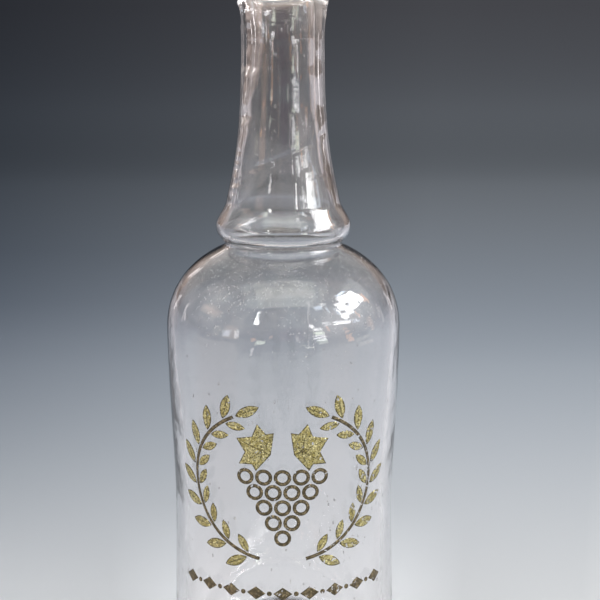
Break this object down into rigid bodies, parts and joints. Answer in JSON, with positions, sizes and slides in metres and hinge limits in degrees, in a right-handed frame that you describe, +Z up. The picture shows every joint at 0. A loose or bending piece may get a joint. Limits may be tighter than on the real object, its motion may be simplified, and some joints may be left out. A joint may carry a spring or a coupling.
{
  "type": "glass bottle",
  "caption": "Blown glass spirits bottle with a domed shoulder, a ring at the foot of its flared neck, a collared lip, a pushed-up base and gilded ornament on the front.",
  "frame": {"origin": "middle of the foot, on the surface the bottle stands on", "axes": "+Z up the bottle's axis and out of its mouth; the gilded side faces -Y"},
  "size_m": [0.0886, 0.0886, 0.287],
  "materials": {
    "glass": "clear, with a faint lilac tint",
    "gold_gilding": "fired gold, dulled and worn",
    "bronze_gilding": "fired gilding, darkened to bronze"
  },
  "bodies": {
    "root": {"bottle": "glass", "gilt_wreath_leaves": "gold_gilding", "gilt_wreath_stems": "bronze_gilding", "gilt_grapes": "bronze_gilding", "gilt_vine_leaves": "gold_gilding", "gilt_border": "bronze_gilding"}
  },
  "joints": []
}
